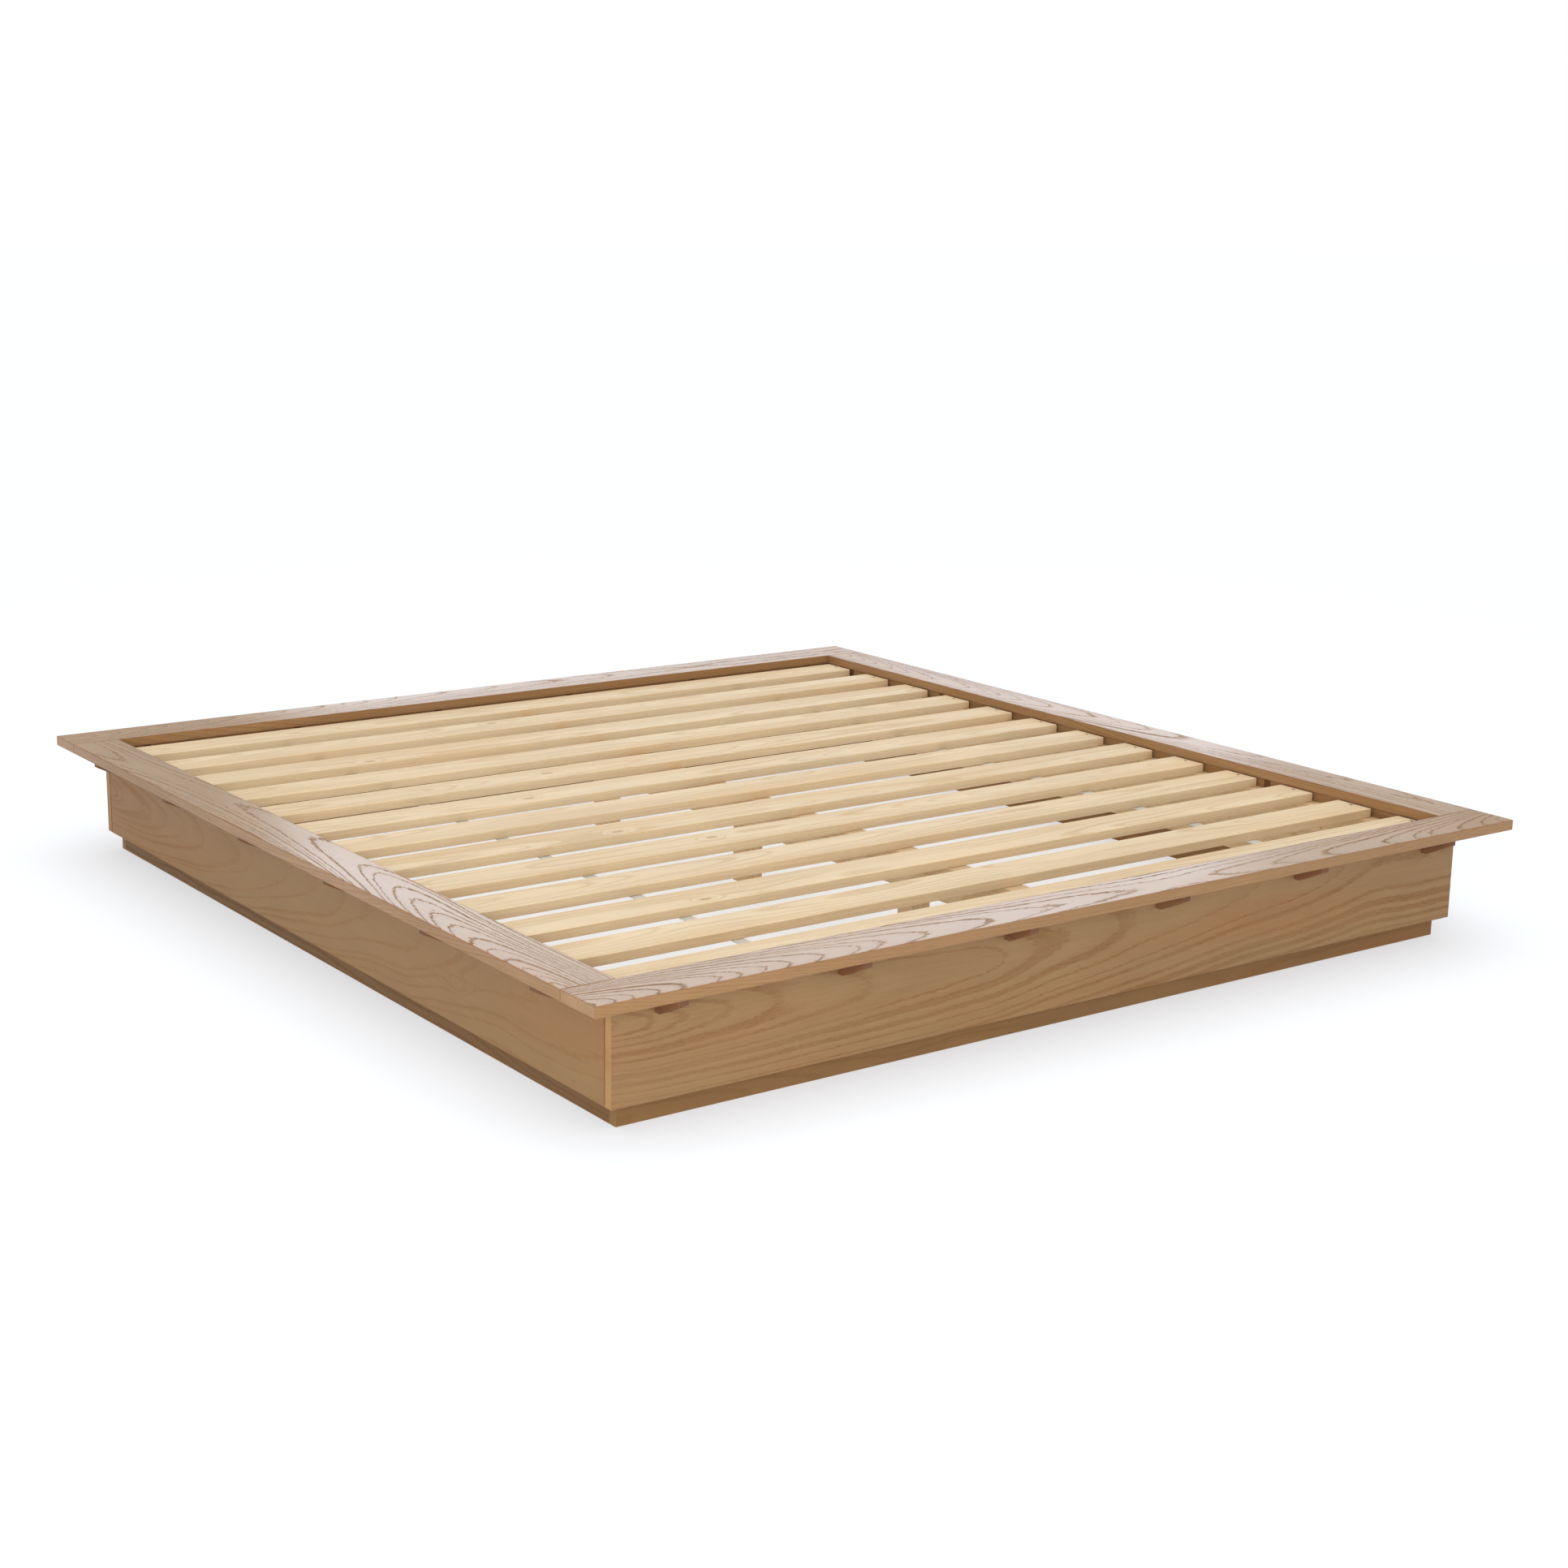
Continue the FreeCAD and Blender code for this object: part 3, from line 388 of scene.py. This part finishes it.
# how each of the large boards was sawn: where its pith lies and how that moves along the board; and the
# tones in which some of them differ from their kind. The darker tones of the left side's boards are painted
# shade.
BOARD_FIGURE = {
    # ledge_left's darker Edge is painted shade, for the light falling off along the left side
    "ledge_left": {"Pith Depth": 0.085, "Lean": 0.035, "Bow": -0.030, "Pith Side": -0.008, "Sway": 0.042,
                   "Sway Peak": 0.1, "Edge": linear(147, 109, 65)},
    "ledge_foot": {"Pith Depth": 0.122, "Lean": 0.016, "Bow": -0.055, "Pith Side": -0.030, "Sway": 0.014,
                   "Sway Peak": -0.1, "Line Strength": 1.0},
    "ledge_right": {"Pith Depth": 0.090, "Lean": -0.050, "Bow": -0.020, "Pith Side": 0.010, "Sway": 0.030,
                    "Sway Peak": -0.5},
    "ledge_head": {"Pith Depth": 0.095, "Lean": 0.045, "Bow": -0.030, "Pith Side": 0.015, "Sway": 0.025,
                   "Sway Peak": -0.3},
    "panel_foot": {"Pith Depth": 0.105, "Lean": 0.060, "Bow": -0.020, "Pith Side": 0.046, "Sway": 0.022,
                   "Sway Peak": 0.8, "Edge": linear(172, 133, 79)},
    # panel_left's darker Pale and Warm are painted shade, for the light falling off along the left side
    "panel_left": {"Pith Depth": 0.140, "Lean": -0.095, "Bow": -0.020, "Pith Side": 0.022, "Sway": 0.022,
                   "Sway Peak": -0.4, "Line Strength": 0.25, "Knot Along": -0.55, "Knot Across": -0.020,
                   "Knot Size": -0.022, "Pale": linear(146, 112, 69), "Warm": linear(151, 105, 57)},
    # plinth_left's darker tones are painted shade, on top of the plinth's own painted shade
    "plinth_left": {"Pith Depth": 0.070, "Lean": 0.015, "Bow": -0.015, "Pith Side": 0.020,
                    "Pale": linear(119, 85, 46), "Dark": linear(88, 60, 32), "Warm": linear(123, 80, 40)},
    "panel_right": {"Pith Depth": 0.075, "Lean": 0.035, "Bow": -0.030, "Pith Side": 0.060, "Sway": 0.030,
                    "Sway Peak": -0.4},
    "panel_head": {"Pith Depth": 0.080, "Lean": -0.025, "Bow": -0.025, "Pith Side": 0.090, "Sway": 0.025,
                   "Sway Peak": 0.6},
}

# the boards that BOARD_FIGURE leaves out swing by these reaches as the seed turns
SEED_TURN = 2.4                      # radians for each seed
PITH_SWING, LEAN_SWING, USUAL_BOW = 0.03, 0.03, -0.015
KNOT_PLACE, KNOT_SIZE = (0.8, 0.025), 0.014
KNOT_SHARE = -0.2                    # a slat has a knot where the sine of its own turn is above this

# node name's start, grain order (along, across, through), look; the seeds follow this order
WOOD_NODES = (
    ("ledge_foot", "XYZ", LEDGE_LOOK), ("ledge_head", "XYZ", LEDGE_LOOK),
    ("ledge_left", "YXZ", LEDGE_LOOK), ("ledge_right", "YXZ", LEDGE_LOOK),
    ("panel_foot", "XZY", PANEL_LOOK), ("panel_head", "XZY", PANEL_LOOK),
    ("panel_left", "YZX", PANEL_LOOK), ("panel_right", "YZX", PANEL_LOOK),
    ("plinth_foot", "XZY", SHADED_PLINTH_LOOK), ("plinth_head", "XZY", SHADED_PLINTH_LOOK),
    ("plinth_left", "YZX", SHADED_PLINTH_LOOK), ("plinth_right", "YZX", SHADED_PLINTH_LOOK),
    ("brackets_foot", "YZX", SHADED_BRACKET_LOOK), ("brackets_head", "YZX", SHADED_BRACKET_LOOK),
    ("brackets_left", "XZY", SHADED_BRACKET_LOOK), ("brackets_right", "XZY", SHADED_BRACKET_LOOK),
    ("inner_rail_foot", "XZY", RAIL_LOOK), ("inner_rail_head", "XZY", RAIL_LOOK),
    ("inner_rail_left", "YZX", RAIL_LOOK), ("inner_rail_right", "YZX", RAIL_LOOK),
    ("corner_block", "ZXY", RAIL_LOOK), ("slat_", "XYZ", SLAT_LOOK),
    ("centre_beam", "YZX", RAIL_LOOK), ("centre_leg", "ZXY", RAIL_LOOK), ("dowels", "ZXY", RAIL_LOOK),
)

NOT_WOOD = ("slat_webbing", "slat_screws")


def dress(name, material):
    """Gives a CAD node its material in every slot."""
    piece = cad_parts[name]
    if not piece.material_slots:
        piece.data.materials.append(material)
    for slot in piece.material_slots:
        slot.material = material


def own_figure(name, seed):
    """What sets one board's figure apart from its neighbours'."""
    if name in BOARD_FIGURE:
        return BOARD_FIGURE[name]
    turn = seed * SEED_TURN
    figure = {
        "Pith Side": PITH_SWING * math.sin(turn), "Lean": LEAN_SWING * math.cos(turn), "Bow": USUAL_BOW,
    }
    if name.startswith("slat_") and math.sin(turn * 1.7) > KNOT_SHARE:
        figure |= {
            "Knot Along": KNOT_PLACE[0] * math.cos(turn * 0.9),
            "Knot Across": KNOT_PLACE[1] * math.sin(turn),
            "Knot Size": KNOT_SIZE,
        }
    return figure


def dress_wood():
    seed = 1.0
    for start, order, look in WOOD_NODES:
        for name in sorted(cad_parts):
            if name.startswith(start) and name not in NOT_WOOD:
                seed += 1.0
                figure = own_figure(name, seed)
                dress(name, wood_material("wood_" + name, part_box(name), order, seed, look, figure))


# ---- metal, plastic and tape ---------------------------------------------------------------------
WORN_RELIEF = 0.0001                 # metres
GRAIN_PER_CLOUD = 14                 # how much finer the surface's grain is than its cloudy colour
WARP_PITCH, WEFT_PITCH, WEAVE_RELIEF = 0.0016, 0.0020, 0.0003


def worn_material(name, colour, dull, metallic, roughness, scale, bump):
    """Metal or plastic with cloudy colour, uneven gloss and a fine surface."""
    material, g, shader = new_material(name)
    place = g.node("ShaderNodeTexCoord").outputs["Object"]
    cloud = g.noise(place, (scale,) * 3, 3.0, 0.6)
    grain = g.noise(place, (scale * GRAIN_PER_CLOUD,) * 3, 2.0)
    g.put(shader.inputs["Base Color"], g.mix(g.ramp(cloud, 0.35, 0.7), colour, dull))
    g.put(shader.inputs["Roughness"], g.math("ADD", g.swing(cloud, 0.12), roughness))
    node = g.node("ShaderNodeBump")
    g.put(node.inputs["Height"], grain)
    node.inputs["Strength"].default_value = bump
    node.inputs["Distance"].default_value = WORN_RELIEF
    g.put(shader.inputs["Normal"], node.outputs[0])
    shader.inputs["Metallic"].default_value = metallic
    return material


def tape_material():
    """Woven tape: a fine over-and-under weave, unevenly bleached."""
    material, g, shader = new_material("woven_tape")
    place = g.node("ShaderNodeTexCoord").outputs["Object"]
    split = g.node("ShaderNodeSeparateXYZ")
    g.put(split.inputs[0], place)
    warp = g.math("SINE", g.math("MULTIPLY", split.outputs[0], 2 * math.pi / WARP_PITCH))
    weft = g.math("SINE", g.math("MULTIPLY", split.outputs[1], 2 * math.pi / WEFT_PITCH))
    weave = g.math("MULTIPLY", warp, weft)
    cloud = g.noise(place, (30, 30, 30), 2.0)
    thread = g.math("ADD", g.ramp(weave, -0.6, 0.6), g.swing(cloud, 0.3), clamp=True)
    g.put(shader.inputs["Base Color"], g.mix(thread, linear(176, 172, 160), linear(226, 222, 210)))
    node = g.node("ShaderNodeBump")
    g.put(node.inputs["Height"], weave)
    node.inputs["Strength"].default_value = 0.5
    node.inputs["Distance"].default_value = WEAVE_RELIEF
    g.put(shader.inputs["Normal"], node.outputs[0])
    shader.inputs["Roughness"].default_value = 0.85
    return material


# material's name: clean colour, dull colour, metallic, roughness, cloud frequency per metre, bump strength
WORN_FINISHES = {
    "yellow_zinc": (linear(206, 184, 120), linear(176, 148, 92), 1.0, 0.32, 60, 0.2),
    "zinc": (linear(196, 198, 200), linear(160, 164, 168), 1.0, 0.34, 60, 0.2),
    "black_oxide": (linear(70, 70, 72), linear(44, 44, 46), 0.9, 0.40, 50, 0.3),
    "powder_coat": (linear(38, 38, 39), linear(52, 52, 53), 0.0, 0.50, 40, 0.8),
    "brass": (linear(206, 170, 98), linear(170, 134, 76), 1.0, 0.30, 60, 0.2),
    "nylon": (linear(34, 34, 35), linear(52, 52, 53), 0.0, 0.46, 80, 0.4),
}
WORN_NODES = {
    "yellow_zinc": ("slat_screws", "hanger_screws", "rail_screws", "bracket_screws", "ledge_screws"),
    "zinc": ("leg_bolts", "leg_tnuts", "leveller_stud_1", "leveller_stud_2", "leveller_stud_3"),
    "black_oxide": ("corner_bolts",),
    "powder_coat": ("beam_hanger_foot", "beam_hanger_head"),
    "brass": ("corner_inserts",),
    "nylon": ("leveller_pad_1", "leveller_pad_2", "leveller_pad_3"),
}


def dress_the_rest():
    for finish, values in WORN_FINISHES.items():
        material = worn_material(finish, *values)
        for name in WORN_NODES[finish]:
            dress(name, material)
    dress("slat_webbing", tape_material())


# ---- floor and light -----------------------------------------------------------------------------
WALL_LEVEL, CEILING_LEVEL = 0.38, 1.56
WALL_BAND, CEILING_BAND = (0.08, 0.22), (0.50, 0.90)   # where each sets in, as the sine of its elevation
FLOOR_REACH = 40.0
FLOOR_COLOUR = (0.50, 0.52, 0.54, 1)
FLOOR_GLOW, FLOOR_GLOW_STRENGTH = (0.98, 1.0, 1.03, 1), 0.50

# the long light behind the bed, mirrored in the ledges: metres from the bed's middle and up, then its two
# panes as (name, metres to the side, width, watts)
SOFTBOX_FAR, SOFTBOX_UP, SOFTBOX_HEIGHT, SOFTBOX_AIM = 5.0, 1.75, 1.1, 0.25
SOFTBOX_COLOUR = (0.80, 0.86, 1.0)
SOFTBOX_PANES = (("rear_softbox", 0.0, 3.95, 44.5), ("rear_softbox_edge", 2.42, 0.88, 2.7))

# the soft light in front of the near corner
FRONT_PLACE, FRONT_AIM, FRONT_SIZE, FRONT_POWER = (-3.6, -4.0, 1.4), (-0.9, -1.0, 0.2), (2.4, 1.8), 94


def make_floor():
    mesh = bpy.data.meshes.new("floor")
    corners = [(x * FLOOR_REACH, y * FLOOR_REACH, 0) for x, y in ((-1, -1), (1, -1), (1, 1), (-1, 1))]
    mesh.from_pydata(corners, [], [(0, 1, 2, 3)])
    floor = bpy.data.objects.new("floor", mesh)
    bpy.context.scene.collection.objects.link(floor)
    material, g, shader = new_material("floor")
    shader.inputs["Base Color"].default_value = FLOOR_COLOUR
    shader.inputs["Roughness"].default_value = 0.9
    shader.inputs["Specular IOR Level"].default_value = 0.1
    shader.inputs["Emission Color"].default_value = FLOOR_GLOW
    shader.inputs["Emission Strength"].default_value = FLOOR_GLOW_STRENGTH
    mesh.materials.append(material)


def area_light(name, place, target, size, power):
    data = bpy.data.lights.new(name, "AREA")
    data.shape, data.size, data.size_y = "RECTANGLE", size[0], size[1]
    data.energy, data.spread = power, math.pi
    lamp = bpy.data.objects.new(name, data)
    lamp.location = place
    lamp.rotation_mode = "QUATERNION"
    lamp.rotation_quaternion = (Vector(target) - Vector(place)).to_track_quat("-Z", "Y")
    lamp.visible_camera = False
    bpy.context.scene.collection.objects.link(lamp)
    return lamp


def make_world():
    """A studio: white at floor level and overhead, with a dimmer band of wall between them."""
    world = bpy.data.worlds.new("studio")
    world.use_nodes = True
    g = Graph(world.node_tree)
    split = g.node("ShaderNodeSeparateXYZ")
    g.put(split.inputs[0], g.node("ShaderNodeTexCoord").outputs["Generated"])
    height = split.outputs[2]
    wall = g.ramp(height, *WALL_BAND, 1.0, WALL_LEVEL)
    ceiling = g.ramp(height, *CEILING_BAND, 0.0, CEILING_LEVEL - WALL_LEVEL)
    background = world.node_tree.nodes["Background"]
    background.inputs["Color"].default_value = (1, 1, 1, 1)
    g.put(background.inputs["Strength"], g.math("ADD", wall, ceiling))
    bpy.context.scene.world = world


def make_light():
    make_world()
    behind = -look_back(CAMERA_AZIMUTH, 0.0)
    beside = behind.cross(Vector((0, 0, 1)))
    place = behind * SOFTBOX_FAR + Vector((0, 0, SOFTBOX_UP))
    aim = Vector((0, 0, SOFTBOX_AIM))
    for name, shift, width, power in SOFTBOX_PANES:
        aside = beside * shift
        glare = area_light(name, place + aside, aside + aim, (width, SOFTBOX_HEIGHT), power)
        glare.data.color = SOFTBOX_COLOUR
        glare.visible_diffuse = False
    area_light("front", FRONT_PLACE, FRONT_AIM, FRONT_SIZE, FRONT_POWER)


def main():
    view = bpy.context.scene.view_settings
    view.view_transform, view.look = "Standard", "None"
    make_camera()
    make_floor()
    make_light()
    dress_wood()
    dress_the_rest()


WOOD = make_wood_group()
main()
